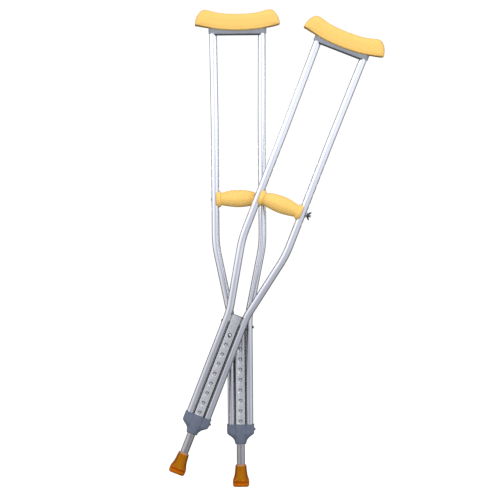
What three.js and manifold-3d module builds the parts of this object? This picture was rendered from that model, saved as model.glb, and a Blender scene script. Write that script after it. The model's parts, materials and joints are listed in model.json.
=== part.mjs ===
// A pair of adjustable aluminium underarm crutches, in millimetres, +Z up.
// Crutch A stands upright with the centre of its foot at the origin. Crutch B
// leans towards +X across the front of A. X is the width of crutch A, and -Y is
// the front, the side that the buttons face. Left is -X and right is +X.
import * as THREE from "three";
import { mergeVertices } from "three/addons/utils/BufferGeometryUtils.js";
import Module from "manifold-3d";

const wasm = await Module();
wasm.setup();

// ---------------------------------------------------------------- dimensions
// R is a radius, Z0 and Z1 are a bottom and a top.
const GAP = 0.3; // between neighbouring pieces
const CUT_REACH = 20; // half length of a cutter that goes right through the frame
const OVERSHOOT = 5; // how far a bore's cutter passes the ends of its piece

// where crutch B stands
const B_TILT_DEG = 21.7; // lean to +X
const B_FOOT_X = -158.8;
const B_FOOT_Z = 34.5;
const B_FORWARD = 43; // clear of crutch A, towards -Y

// side tubes and centre profile
const FRAME_Z0 = 131.3; // bottom of both
const HOLE_PITCH = 25.4; // height and grip adjustment

// side tubes
const TUBE_R = 9.5;
const TUBE_WALL = 1.3;
const TUBE_LOW_X = 21.7; // axis offset beside the profile
const TUBE_MID_X = 57.2; // axis offset beside the grip
const TUBE_TOP_X = 59.8; // axis offset in the saddle
const TUBE_Z1 = 1126;
const BEND_LOW_Z = 418;
const BEND_HIGH_Z = 593;
const SPLAY_Z = 880; // above this the tubes spread a little
const BEND_LOW_R = 170;
const BEND_HIGH_R = 260;
const BEND_STEPS = 2;
const TUBE_CUT_NEAR_X = 8; // cutters along X cross one tube only
const TUBE_CUT_FAR_X = 75;

// centre profile
const PROFILE_Z1 = 415;
const PROFILE_HALF_W = 12.9; // front strip
const PROFILE_HALF_D = 12.4;
const PROFILE_EASE = 0.3; // taken off front and back inside the collar
const BORE_R = 10.4;
const FLANK_ANGLES_DEG = [-47, -26, 0, 26, 47];
const HOLE_TOP_Z = 361.8;
const HOLE_COUNT = 9;
const HOLE_R = 4.7;

// leg and button
const LEG_R = 10;
const LEG_WALL = 1.3;
const LEG_Z0 = 11.4;
const LEG_Z1 = 382.6;
const CLIP_WIDTH = 6;
const BUTTON_R = 4.2;
const BUTTON_NOSE = 14.7; // reach of the dome towards -Y
const BUTTON_BASE = 6.5;

// frame bolt, across the profile and both tubes
const FRAME_BOLT_Z = 390.5;
const FRAME_BOLT_R = 2.5;
const FRAME_BOLT_HOLE_R = FRAME_BOLT_R + 0.7;

// collar
const COLLAR_Z0 = 104.4;
const COLLAR_Z1 = 152.5;
const SOCKET_Z0 = FRAME_Z0 - 0.5;
const SOCKET_HALF_W = 15.2;
const SOCKET_HALF_D = 12.8;
const COLLAR_CUT_Z0 = 100;
const COLLAR_CUT_Z1 = 160;
const SCREW_Z = 141.5;
const SCREW_HOLE_X = [24, 40]; // ends of the screw hole's cutter
const SCREW_HOLE_TUBE_R = 2.1;
const SCREW_HOLE_COLLAR_R = 2;

// grip
const GRIP_Z = 704;
const GRIP_HOLES_BELOW = 1;
const GRIP_HOLES_ABOVE = 5;
const GRIP_HOLE_R = 3.9;
const GRIP_SEAT_HALF_H = 40;
const GRIP_CORE_R = 8;
const GRIP_CORE_HALF_L = 46.6;
const GRIP_CUT_HALF_L = 60;
const GRIP_BOLT_R = 3;
const WING_HALF_T = 1.1;

// saddle and pad
const SADDLE_Z0 = 1104.2;
const SADDLE_Z1 = 1130;
const SADDLE_HALF_W = 71;
const SADDLE_HALF_D = 13.2;
const SADDLE_WALL = 2.4; // front and back of the hollow
const SADDLE_HOLLOW_HALF_W = 47;
const SADDLE_HOLLOW_Z1 = 1126;
const SADDLE_CUT_Z0 = 1090; // cutters start below the saddle and the pad
const RIVET_Z = 1121;
const RIVET_R = 1.9;
const RIVET_HALF_L = 12.9;
const PAD_HALF_W = 104;
const PAD_HALF_D = 23;
const PAD_MID_Z = 1139; // the rounding shrinks the outline towards this height
const PAD_INSET_H = 24; // height that one full inset would take up
const PAD_POCKET_Z = 1131;
const PAD_POCKET_GAP_X = 0.8;
const PAD_POCKET_GAP_Y = 0.6;

// ---------------------------------------------------------------- materials
const ALUMINIUM = { color: 0xc9cbd3, metalness: 0.9, roughness: 0.35 };
const WHITE_ALUMINIUM = { color: 0xe6e7ee, metalness: 0.85, roughness: 0.3 };
const STEEL = { color: 0x8f9299, metalness: 0.9, roughness: 0.4 };
const DARK_STEEL = { color: 0x4a4c52, metalness: 0.7, roughness: 0.5 };
const FOAM = { color: 0xf6c667, metalness: 0, roughness: 0.75 };
const GREY_PLASTIC = { color: 0x646c7d, metalness: 0, roughness: 0.5 };
const PALE_PLASTIC = { color: 0xd8d8d4, metalness: 0, roughness: 0.5 };
const AMBER = { color: 0xbe5a0a, metalness: 0, roughness: 0.35 };

// ---------------------------------------------------------------- outlines
const toVectors = (points) => points.map(([x, y]) => new THREE.Vector2(x, y));

// Points with their first or second column negated, in reverse order, so that
// they carry an outline on round its other half.
const mirrorX = (points) => points.map(([x, y]) => [-x, y]).reverse();
const mirrorY = (points) => points.map(([x, y]) => [x, -y]).reverse();

function ring(radius, segments, turn = 0) {
  return Array.from({ length: segments }, (_, i) => {
    const angle = turn + (i * 2 * Math.PI) / segments;
    return [radius * Math.cos(angle), radius * Math.sin(angle)];
  });
}

// A flat shape, with one hole if a bore outline is given.
function flatShape(outline, bore) {
  const shape = new THREE.Shape(toVectors(outline));
  if (bore) shape.holes.push(new THREE.Path(toVectors(bore).reverse()));
  return shape;
}

// ---------------------------------------------------------------- solids
// A closed three.js geometry as a solid, whichever way its faces wind.
function solid(geometry) {
  const flat = geometry.index ? geometry.toNonIndexed() : geometry;
  const positionsOnly = new THREE.BufferGeometry().setAttribute(
    "position",
    flat.getAttribute("position").clone(),
  );
  const merged = mergeVertices(positionsOnly, 1e-3);
  const index = merged.index.array;
  const build = (flip) => {
    const triangles = [];
    for (let i = 0; i < index.length; i += 3) {
      const [a, b, c] = [index[i], index[i + 1], index[i + 2]];
      if (a === b || b === c || a === c) continue;
      triangles.push(a, flip ? c : b, flip ? b : c);
    }
    return new wasm.Manifold(
      new wasm.Mesh({
        numProp: 3,
        vertProperties: new Float32Array(merged.attributes.position.array),
        triVerts: new Uint32Array(triangles),
      }),
    );
  };
  const made = build(false);
  return made.volume() < 0 ? build(true) : made;
}

const cut = (base, tools) => tools.reduce((rest, tool) => rest.subtract(tool), base);

// The geometry of a cylinder or cone on the Z axis.
function cylinder(radius, z0, z1, segments, topRadius = radius) {
  const geometry = new THREE.CylinderGeometry(topRadius, radius, z1 - z0, segments);
  geometry.rotateX(Math.PI / 2);
  return geometry.translate(0, 0, (z0 + z1) / 2);
}

// Rods along each axis.
function rodZ(radius, z0, z1, segments, x = 0) {
  return solid(cylinder(radius, z0, z1, segments).translate(x, 0, 0));
}
function rodX(radius, x0, x1, z, segments, endRadius = radius) {
  const geometry = cylinder(radius, x0, x1, segments, endRadius);
  return solid(geometry.rotateY(Math.PI / 2).translate(0, 0, z));
}
function rodY(radius, y0, y1, x, z, segments) {
  const geometry = cylinder(radius, y0, y1, segments);
  return solid(geometry.rotateX(-Math.PI / 2).translate(x, 0, z));
}

// A rod along X with a bore through it.
function sleeveX({ radius, segments, boreRadius, boreSegments, x0, x1, z }) {
  const bore = rodX(boreRadius, x0 - OVERSHOOT, x1 + OVERSHOOT, z, boreSegments);
  return rodX(radius, x0, x1, z, segments).subtract(bore);
}

function box(x0, x1, y0, y1, z0, z1) {
  const geometry = new THREE.BoxGeometry(x1 - x0, y1 - y0, z1 - z0);
  return solid(geometry.translate((x0 + x1) / 2, (y0 + y1) / 2, (z0 + z1) / 2));
}

// The geometry of a lathe about Z; points are [radius, z].
function lathe(points, segments) {
  return new THREE.LatheGeometry(toVectors(points), segments).rotateX(Math.PI / 2);
}
const turnedZ = (points, segments) => solid(lathe(points, segments));

// A lathe about a line along X at height z; points are [radius, x].
function turnedX(points, segments, z) {
  return solid(lathe(points, segments).rotateY(Math.PI / 2).translate(0, 0, z));
}

function extruded(outline, depth, bore) {
  return new THREE.ExtrudeGeometry(flatShape(outline, bore), {
    depth,
    bevelEnabled: false,
  });
}
// An outline in X and Z, raised by z and extruded from y0 to y1.
function plateY(outline, y0, y1, z = 0) {
  return solid(extruded(outline, y1 - y0).rotateX(Math.PI / 2).translate(0, y1, z));
}
// An outline in X and Y with a bore, extruded from z0 to z1.
function barZ(outline, z0, z1, bore) {
  return solid(extruded(outline, z1 - z0, bore).translate(0, 0, z0));
}

// A stack of superellipse sections: rows of [z, half width, half depth, exponent].
function loft(rows, segments) {
  const lastRow = rows.length - 1;
  const geometry = new THREE.CylinderGeometry(1, 1, 1, segments, lastRow);
  const position = geometry.getAttribute("position");
  const powered = (value, power) => Math.sign(value) * Math.abs(value) ** power;
  for (let i = 0; i < position.count; i++) {
    const row = rows[Math.round((position.getY(i) + 0.5) * lastRow)];
    const [z, halfWidth, halfDepth, exponent] = row;
    const radius = Math.hypot(position.getX(i), position.getZ(i)); // 0 at cap centres
    const angle = Math.atan2(position.getZ(i), position.getX(i));
    position.setXYZ(
      i,
      radius * halfWidth * powered(Math.cos(angle), 2 / exponent),
      radius * halfDepth * powered(Math.sin(angle), 2 / exponent),
      z,
    );
  }
  return solid(geometry);
}

// ---------------------------------------------------------------- side tubes
// Points on the arc that rounds off a corner between two straight runs.
function bendPoints(before, corner, after, radius) {
  const toBefore = before.clone().sub(corner).normalize();
  const toAfter = after.clone().sub(corner).normalize();
  const halfTurn = Math.acos(-toBefore.dot(toAfter)) / 2;
  const reach = radius * Math.tan(halfTurn); // corner to the ends of the arc
  const inward = toBefore.clone().add(toAfter).normalize();
  const centre = corner.clone().addScaledVector(inward, radius / Math.cos(halfTurn));
  const from = corner.clone().addScaledVector(toBefore, reach).sub(centre);
  const to = corner.clone().addScaledVector(toAfter, reach).sub(centre);
  const start = Math.atan2(from.y, from.x);
  let sweep = Math.atan2(to.y, to.x) - start;
  if (sweep > Math.PI) sweep -= 2 * Math.PI;
  if (sweep < -Math.PI) sweep += 2 * Math.PI;
  return Array.from({ length: BEND_STEPS + 1 }, (_, i) => {
    const angle = start + (sweep * i) / BEND_STEPS;
    return new THREE.Vector2(
      centre.x + radius * Math.cos(angle),
      centre.y + radius * Math.sin(angle),
    );
  });
}

// The axis of a side tube: straight beside the profile, bent out, upright
// beside the grip, then spread slightly to the saddle. The extrusion takes its
// sections at these stations instead of at even lengths.
class BowAxis extends THREE.Curve {
  constructor(side) {
    super();
    const [foot, lowBend, highBend, splay, top] = toVectors([
      [TUBE_LOW_X, FRAME_Z0],
      [TUBE_LOW_X, BEND_LOW_Z],
      [TUBE_MID_X, BEND_HIGH_Z],
      [TUBE_MID_X, SPLAY_Z],
      [TUBE_TOP_X, TUBE_Z1],
    ]);
    this.stations = [
      foot,
      ...bendPoints(foot, lowBend, highBend, BEND_LOW_R),
      ...bendPoints(lowBend, highBend, splay, BEND_HIGH_R),
      splay,
      top,
    ].map((point) => new THREE.Vector3(side * point.x, 0, point.y));
    this.steps = this.stations.length - 1;
  }
  getPointAt(u, target = new THREE.Vector3()) {
    return target.copy(this.stations[Math.round(u * this.steps)]);
  }
  getTangentAt(u, target = new THREE.Vector3()) {
    const i = Math.round(u * this.steps);
    const before = this.stations[Math.max(i - 1, 0)];
    const after = this.stations[Math.min(i + 1, this.steps)];
    return target.subVectors(after, before).normalize();
  }
}

function bowTube(side) {
  const axis = new BowAxis(side);
  const section = flatShape(
    ring(TUBE_R, 14, Math.PI / 14),
    ring(TUBE_R - TUBE_WALL, 8),
  );
  const tube = new THREE.ExtrudeGeometry(section, {
    steps: axis.steps,
    extrudePath: axis,
    bevelEnabled: false,
  });
  const [x0, x1] =
    side > 0 ? [TUBE_CUT_NEAR_X, TUBE_CUT_FAR_X] : [-TUBE_CUT_FAR_X, -TUBE_CUT_NEAR_X];
  const gripHoles = Array.from(
    { length: GRIP_HOLES_BELOW + GRIP_HOLES_ABOVE + 1 },
    (_, i) => {
      const z = GRIP_Z + (i - GRIP_HOLES_BELOW) * HOLE_PITCH;
      return rodX(GRIP_HOLE_R, x0, x1, z, 6);
    },
  );
  const tools = [
    ...gripHoles,
    rodX(FRAME_BOLT_HOLE_R, x0, x1, FRAME_BOLT_Z, 6),
    rodY(RIVET_R + 0.6, -CUT_REACH, CUT_REACH, side * TUBE_TOP_X, RIVET_Z, 6),
  ];
  // the collar screw enters the right tube only
  if (side > 0) tools.push(rodX(SCREW_HOLE_TUBE_R, ...SCREW_HOLE_X, SCREW_Z, 6));
  return cut(solid(tube), tools);
}

// ---------------------------------------------------------------- profile
// The right half of the section, front to back: a lip beside the flat front
// strip, a hollow flank that the side tube lies in, and the same lip behind.
function profileOutline() {
  const seatR = TUBE_R + GAP;
  const flank = FLANK_ANGLES_DEG.map((degrees) => {
    const angle = THREE.MathUtils.degToRad(degrees);
    return [TUBE_LOW_X - seatR * Math.cos(angle), seatR * Math.sin(angle)];
  });
  const lip = [
    [PROFILE_HALF_W - 0.4, -PROFILE_HALF_D],
    [PROFILE_HALF_W, -PROFILE_HALF_D + 0.5],
    [PROFILE_HALF_W + 1.7, -8.3],
  ];
  const right = [...lip, ...flank, ...mirrorY(lip)];
  return [...right, ...mirrorX(right)];
}

function centreProfile() {
  const bar = barZ(profileOutline(), FRAME_Z0, PROFILE_Z1, ring(BORE_R, 16));
  const buttonHoles = Array.from({ length: HOLE_COUNT }, (_, i) =>
    rodY(HOLE_R, -CUT_REACH, -5, 0, HOLE_TOP_Z - i * HOLE_PITCH, 10),
  );
  const easedY = PROFILE_HALF_D - PROFILE_EASE;
  const easedTo = COLLAR_Z1 + 0.5;
  return cut(bar, [
    ...buttonHoles,
    rodX(FRAME_BOLT_HOLE_R, -CUT_REACH, CUT_REACH, FRAME_BOLT_Z, 6),
    // the end that enters the collar is eased, back and front
    box(-CUT_REACH, CUT_REACH, easedY, 15, 120, easedTo),
    box(-CUT_REACH, CUT_REACH, -15, -easedY, 120, easedTo),
  ]);
}

// ---------------------------------------------------------------- collar
function collar() {
  const wings = loft(
    [
      [COLLAR_Z0, 11.9, 11.9, 2],
      [COLLAR_Z0 + 2.4, 13.3, 12.4, 2],
      [112.5, 14.9, 12.6, 2],
      [117.4, 17.7, 12.7, 2.1],
      [122.2, 22.5, 12.7, 2.3],
      [127.1, 29.2, 12.6, 2.6],
      [131, 33, 12.5, 3],
      [COLLAR_Z1, 33.4, 12.5, 3.1],
    ],
    20,
  );
  const middle = loft(
    [
      [COLLAR_Z0, 11.9, 11.9, 2],
      [COLLAR_Z0 + 2.4, 13.3, 13.1, 2],
      [120, 14.6, 14.4, 2.4],
      [130, 15.2, 15.4, 3],
      [COLLAR_Z1, 15.2, 15.4, 3],
    ],
    16,
  );
  const tubeSocket = (side) =>
    rodZ(TUBE_R + GAP + 0.15, SOCKET_Z0, COLLAR_CUT_Z1, 16, side * TUBE_LOW_X);
  const profileSocket = box(
    -SOCKET_HALF_W, SOCKET_HALF_W,
    -SOCKET_HALF_D, SOCKET_HALF_D,
    SOCKET_Z0, COLLAR_CUT_Z1,
  );
  return cut(wings.add(middle), [
    tubeSocket(-1),
    tubeSocket(1),
    profileSocket,
    rodZ(BORE_R, COLLAR_CUT_Z0, COLLAR_CUT_Z1, 16),
    rodX(SCREW_HOLE_COLLAR_R, ...SCREW_HOLE_X, SCREW_Z, 8),
  ]);
}

function collarScrew() {
  const points = [
    [0, 37.2], [1.6, 37.2], [3.1, 36.3], [3.3, 34.2],
    [1.6, 34.2], [1.6, 29.2], [0, 29.2],
  ];
  return turnedX(points, 10, SCREW_Z);
}

// ---------------------------------------------------------------- leg
function legTube() {
  const tube = barZ(ring(LEG_R, 16), LEG_Z0, LEG_Z1, ring(LEG_R - LEG_WALL, 12));
  return tube.subtract(rodY(HOLE_R, -CUT_REACH, -4, 0, HOLE_TOP_Z, 10));
}

// A cap on top of the leg, with a plug down inside it.
function legGuide() {
  const points = [
    [0, 385.2], [9.2, 385.2], [LEG_R, 384.4], [LEG_R, LEG_Z1 + GAP],
    [8, LEG_Z1 + GAP], [8, 374], [0, 374],
  ];
  return turnedZ(points, 14);
}

// Two arms of spring strip joined by a bend at the bottom; points are [y, z].
function springClip() {
  const outerFace = [
    [-5.3, 371], [-6.1, 366], [-6.1, 355], [-5.6, 340], [-2.2, 318],
    [0, 315.5], [2.2, 318], [6.6, 340], [7.2, 355], [7.2, 371],
  ];
  const innerFace = [
    [6.4, 371], [6.4, 355], [5.8, 340], [1.5, 318.6], [0, 316.8],
    [-1.5, 318.6], [-4.8, 340], [-5.3, 355], [-5.3, 365.8], [-4.5, 370.8],
  ];
  const strip = extruded([...outerFace, ...innerFace], CLIP_WIDTH);
  // send the outline's axes to Y and Z, and the strip's width to X
  strip.applyMatrix4(
    new THREE.Matrix4().makeBasis(
      new THREE.Vector3(0, 1, 0),
      new THREE.Vector3(0, 0, 1),
      new THREE.Vector3(1, 0, 0),
    ),
  );
  return solid(strip.translate(-CLIP_WIDTH / 2, 0, 0));
}

function snapButton() {
  const button = lathe(
    [
      [0, BUTTON_NOSE],
      [2, BUTTON_NOSE - 0.2],
      [3.5, BUTTON_NOSE - 1],
      [BUTTON_R, BUTTON_NOSE - 2.2],
      [BUTTON_R, BUTTON_BASE],
      [0, BUTTON_BASE],
    ],
    12,
  );
  button.rotateX(Math.PI / 2); // nose to -Y
  return solid(button.translate(0, 0, HOLE_TOP_Z));
}

function crutchTip() {
  const points = [
    [0, 0], [17.6, 0], [19.4, 1.6], [20, 4.2], [20, 17.5],
    [18.9, 21.5], [16.8, 26.5], [14.9, 35], [13.8, 47], [12.7, 54],
    [11.4, 55], [10.4, 54], [10.4, 9], [0, 9],
  ];
  return turnedZ(points, 16);
}

function tipWasher() {
  return turnedZ([[3, 9.3], [9.8, 9.3], [9.8, 10.8], [3, 10.8], [3, 9.3]], 16);
}

// ---------------------------------------------------------------- frame bolt
function frameBolt() {
  const points = [
    [0, -34.4], [2.6, -34.2], [4.4, -33.2], [4.8, -31.5],
    [FRAME_BOLT_R, -31.5], [FRAME_BOLT_R, 36.6], [0, 36.6],
  ];
  return turnedX(points, 10, FRAME_BOLT_Z);
}

function frameNut() {
  return sleeveX({
    radius: 4.6,
    segments: 6,
    boreRadius: FRAME_BOLT_R + 0.4,
    boreSegments: 10,
    x0: 31.5,
    x1: 35.4,
    z: FRAME_BOLT_Z,
  });
}

// ---------------------------------------------------------------- grip
function handgrip() {
  // [radius, x], from the middle to the right end
  const right = [
    [20.2, 0], [19.9, 12], [18.4, 25], [16.4, 35],
    [15.2, 40.5], [19.2, 45.5], [19.7, 50], [18.6, 55.2],
  ];
  const outer = [[0, -55.2], ...mirrorY(right.slice(1)), ...right, [0, 55.2]];
  const tubeSeat = (side) =>
    rodZ(
      TUBE_R + 0.8,
      GRIP_Z - GRIP_SEAT_HALF_H,
      GRIP_Z + GRIP_SEAT_HALF_H,
      14,
      side * TUBE_MID_X,
    );
  return cut(turnedX(outer, 14, GRIP_Z), [
    tubeSeat(-1),
    tubeSeat(1),
    rodX(GRIP_CORE_R + GAP + 0.1, -GRIP_CUT_HALF_L, GRIP_CUT_HALF_L, GRIP_Z, 10),
  ]);
}

function gripCore() {
  return sleeveX({
    radius: GRIP_CORE_R,
    segments: 10,
    boreRadius: GRIP_BOLT_R + 0.6,
    boreSegments: 8,
    x0: -GRIP_CORE_HALF_L,
    x1: GRIP_CORE_HALF_L,
    z: GRIP_Z,
  });
}

function gripBolt() {
  const points = [
    [0, -69], [2.6, -68.8], [4.6, -68.1], [5, -67], [GRIP_BOLT_R, -67],
    [GRIP_BOLT_R, 79], [GRIP_BOLT_R - 0.6, 79.8], [0, 79.8],
  ];
  return turnedX(points, 10, GRIP_Z);
}

function gripWasher() {
  return sleeveX({
    radius: 7.5,
    segments: 16,
    boreRadius: GRIP_BOLT_R + 0.5,
    boreSegments: 10,
    x0: 67,
    x1: 68.4,
    z: GRIP_Z,
  });
}

function wingNut() {
  // [x, height above the bolt axis] of the upper wing
  const outline = [
    [70.4, 3], [73.2, 3], [78.2, 6.2], [79.6, 8.2],
    [79, 9.6], [76.8, 9.9], [73.8, 8.8], [70.9, 5.4],
  ];
  const wing = (side) => {
    const points = outline.map(([x, z]) => [x, side * z]);
    return plateY(points, -WING_HALF_T, WING_HALF_T, GRIP_Z);
  };
  const hub = rodX(5.6, 68.7, 75.5, GRIP_Z, 12, 4.6);
  const bore = rodX(GRIP_BOLT_R + 0.35, 60, 90, GRIP_Z, 10);
  return hub.add(wing(1)).add(wing(-1)).subtract(bore);
}

// ---------------------------------------------------------------- saddle
function padSaddle() {
  // [x, z] of the right half, from the underside round to the top
  const right = [
    [50, SADDLE_Z0],
    [53.5, SADDLE_Z0 + 1.4],
    [56.5, SADDLE_Z0 + 4.6],
    [60, SADDLE_Z0 + 6],
    [66, SADDLE_Z0 + 5.4],
    [69.2, SADDLE_Z0 + 4],
    [SADDLE_HALF_W - 0.2, SADDLE_Z0 + 4.2],
    [SADDLE_HALF_W, SADDLE_Z0 + 6],
    [SADDLE_HALF_W, SADDLE_Z1 - 3],
    [SADDLE_HALF_W - 3, SADDLE_Z1],
  ];
  const body = plateY([...right, ...mirrorX(right)], -SADDLE_HALF_D, SADDLE_HALF_D);
  const tubeSocket = (side) =>
    rodZ(TUBE_R + 0.6, SADDLE_CUT_Z0, TUBE_Z1 + 0.5, 18, side * TUBE_TOP_X);
  const rivetHole = (side) =>
    rodY(RIVET_R + 0.4, -CUT_REACH, CUT_REACH, side * TUBE_TOP_X, RIVET_Z, 8);
  const hollow = box(
    -SADDLE_HOLLOW_HALF_W, SADDLE_HOLLOW_HALF_W,
    -SADDLE_HALF_D + SADDLE_WALL, SADDLE_HALF_D - SADDLE_WALL,
    SADDLE_CUT_Z0, SADDLE_HOLLOW_Z1,
  );
  return cut(body, [
    tubeSocket(1),
    tubeSocket(-1),
    hollow,
    rivetHole(-1),
    rivetHole(1),
  ]);
}

function saddleRivet(side) {
  return rodY(RIVET_R, -RIVET_HALF_L, RIVET_HALF_L, side * TUBE_TOP_X, RIVET_Z, 8);
}

function underarmPad() {
  // [x, z] of the right half, from the underside round to the top
  const right = [
    [0, 1115.6], [30, 1116.6], [60, 1119.8], [85, 1124.3], [100, 1128],
    [PAD_HALF_W, 1131.5], [103.2, 1138], [100.8, 1147], [96.5, 1156],
    [91, 1162.6], [85, 1166.4], [79.5, 1167.6], [72, 1166.4],
    [63, 1163.8], [48, 1160], [31, 1157.8], [12, 1157.1],
  ];
  // [y, inset]: the outline shrinks near the front and back to round the edges
  const rows = [
    [-PAD_HALF_D, 4.5],
    [-PAD_HALF_D + 2.5, 1.4],
    [-PAD_HALF_D + 6, 0],
    [PAD_HALF_D - 6, 0],
    [PAD_HALF_D - 2.5, 1.4],
    [PAD_HALF_D, 4.5],
  ];
  const steps = rows.length - 1;
  const outline = [...right, ...mirrorX(right.slice(1))];
  const geometry = new THREE.ExtrudeGeometry(flatShape(outline), {
    depth: 1,
    steps,
    bevelEnabled: false,
  });
  const position = geometry.getAttribute("position");
  for (let i = 0; i < position.count; i++) {
    const [y, inset] = rows[Math.round(position.getZ(i) * steps)];
    const x = position.getX(i) * (1 - inset / PAD_HALF_W);
    const rise = (position.getY(i) - PAD_MID_Z) * (1 - inset / PAD_INSET_H);
    position.setXYZ(i, x, y, PAD_MID_Z + rise);
  }
  const pocketX = SADDLE_HALF_W + PAD_POCKET_GAP_X;
  const pocketY = SADDLE_HALF_D + PAD_POCKET_GAP_Y;
  return solid(geometry).subtract(
    box(-pocketX, pocketX, -pocketY, pocketY, SADDLE_CUT_Z0, PAD_POCKET_Z),
  );
}

// ---------------------------------------------------------------- assembly
function namedMesh(name, body, look) {
  const { vertProperties, triVerts } = body.getMesh();
  const geometry = new THREE.BufferGeometry();
  const positions = new Float32Array(vertProperties);
  geometry.setAttribute("position", new THREE.BufferAttribute(positions, 3));
  geometry.setIndex(new THREE.BufferAttribute(new Uint32Array(triVerts), 1));
  geometry.computeVertexNormals();
  const mesh = new THREE.Mesh(geometry, new THREE.MeshStandardMaterial(look));
  mesh.name = name;
  return mesh;
}

function crutch(letter) {
  const pieces = [
    ["underarm_pad", underarmPad(), FOAM],
    ["pad_saddle", padSaddle(), GREY_PLASTIC],
    ["saddle_rivet_left", saddleRivet(-1), STEEL],
    ["saddle_rivet_right", saddleRivet(1), STEEL],
    ["bow_tube_left", bowTube(-1), WHITE_ALUMINIUM],
    ["bow_tube_right", bowTube(1), WHITE_ALUMINIUM],
    ["handgrip", handgrip(), FOAM],
    ["grip_core", gripCore(), PALE_PLASTIC],
    ["grip_bolt", gripBolt(), STEEL],
    ["grip_washer", gripWasher(), STEEL],
    ["wing_nut", wingNut(), DARK_STEEL],
    ["centre_profile", centreProfile(), ALUMINIUM],
    ["frame_bolt", frameBolt(), DARK_STEEL],
    ["frame_nut", frameNut(), DARK_STEEL],
    ["collar", collar(), GREY_PLASTIC],
    ["collar_screw", collarScrew(), GREY_PLASTIC],
    ["leg_tube", legTube(), ALUMINIUM],
    ["leg_guide", legGuide(), PALE_PLASTIC],
    ["spring_clip", springClip(), STEEL],
    ["snap_button", snapButton(), STEEL],
    ["crutch_tip", crutchTip(), AMBER],
    ["tip_washer", tipWasher(), STEEL],
  ];
  const group = new THREE.Group();
  for (const [name, body, look] of pieces) {
    group.add(namedMesh(`${name}_${letter}`, body, look));
  }
  return group;
}

const pair = new THREE.Group();
const crutchA = crutch("a");
const crutchB = crutch("b");
crutchB.rotation.y = THREE.MathUtils.degToRad(B_TILT_DEG);
crutchB.position.set(B_FOOT_X, -B_FORWARD, B_FOOT_Z);
pair.add(crutchA, crutchB);

export default pair;
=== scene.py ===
"""A pair of adjustable aluminium underarm crutches.

Each piece is modelled once in a crutch's own frame, in millimetres: z runs up the crutch from
its foot, x runs across the two side tubes, and -y is the front. It is then placed twice.
Crutch a stands on the world's origin, and crutch b leans on its own foot mount.
"""

import json
import math

import bmesh
import bpy
import numpy as np
from functools import cached_property
from mathutils import Matrix, Vector


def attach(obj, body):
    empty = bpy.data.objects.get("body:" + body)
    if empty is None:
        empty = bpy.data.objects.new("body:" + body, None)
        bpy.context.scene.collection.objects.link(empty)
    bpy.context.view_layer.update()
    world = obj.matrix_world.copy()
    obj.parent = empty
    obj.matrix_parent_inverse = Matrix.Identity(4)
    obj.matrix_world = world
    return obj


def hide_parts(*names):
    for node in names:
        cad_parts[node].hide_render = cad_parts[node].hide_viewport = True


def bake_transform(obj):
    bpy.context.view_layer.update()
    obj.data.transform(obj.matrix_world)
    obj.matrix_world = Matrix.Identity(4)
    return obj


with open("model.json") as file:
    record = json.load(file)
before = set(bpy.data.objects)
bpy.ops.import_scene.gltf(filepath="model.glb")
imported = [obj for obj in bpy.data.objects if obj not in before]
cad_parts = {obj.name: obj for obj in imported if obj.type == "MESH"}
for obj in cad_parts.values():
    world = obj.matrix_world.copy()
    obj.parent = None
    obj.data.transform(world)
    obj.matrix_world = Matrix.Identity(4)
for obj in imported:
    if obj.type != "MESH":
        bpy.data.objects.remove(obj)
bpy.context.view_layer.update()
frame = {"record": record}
record = frame["record"]
body_of = {
    node: body for body, nodes in record["behaviour"]["bodies"].items() for node in nodes
}

# ------------------------------------------------------------------ where each crutch stands
foot_b = next(mount for mount in record["mounts"] if mount["name"] == "foot_b")
UP_B = -Vector(foot_b["axis"]).normalized()
X_B = Vector((0, 1, 0)).cross(UP_B).normalized()
PLACE = {
    "a": Matrix.Identity(4),
    "b": Matrix(
        (
            (X_B.x, 0, UP_B.x, foot_b["pos_m"][0]),
            (X_B.y, 1, UP_B.y, foot_b["pos_m"][1]),
            (X_B.z, 0, UP_B.z, foot_b["pos_m"][2]),
            (0, 0, 0, 1),
        )
    ),
}

# ------------------------------------------------------------------ shared dimensions, mm
TUBE_R, TUBE_WALL = 9.5, 1.3
LOW_X, MID_X, TOP_X = 21.7, 57.2, 59.8  # a side tube's distance from the middle
TUBE_FOOT_Z = 131.3  # lower end of the side tubes and the centre profile
PROFILE_TOP_Z = 415.0
PITCH = 25.4  # between adjusting holes, in the profile and beside the grip
HOLE_COUNT = 9
HOLE_TOP = 361.8  # highest hole in the profile, where the button sits
BOLT_Z = 390.5  # bolt across the profile
SCREW_Z = 141.5
GRIP_Z = 704.0
RIVET_Z = 1121
PAD_LOW_Z = 1115.6  # underside of the pad at its middle
LEG_R, LEG_BORE = 10, 8.7
LEG_FOOT_Z, LEG_TOP_Z = 11.4, 382.6


# ------------------------------------------------------------------ curves
def spline(points, per=8, closed=False):
    """Catmull-Rom through the points, with per steps to a span."""
    pts = np.array(points, float)
    count = len(pts)
    out = []
    for i in range(count if closed else count - 1):
        before = pts[(i - 1) % count] if closed or i > 0 else 2 * pts[0] - pts[1]
        start, end = pts[i], pts[(i + 1) % count]
        inside = closed or i + 2 < count
        after = pts[(i + 2) % count] if inside else 2 * pts[-1] - pts[-2]
        for k in range(per):
            t = k / per
            out.append(
                0.5
                * (
                    2 * start
                    + (end - before) * t
                    + (2 * before - 5 * start + 4 * end - after) * t * t
                    + (3 * start - before - 3 * end + after) * t**3
                )
            )
    if not closed:
        out.append(pts[-1])
    return [tuple(q) for q in out]


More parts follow.
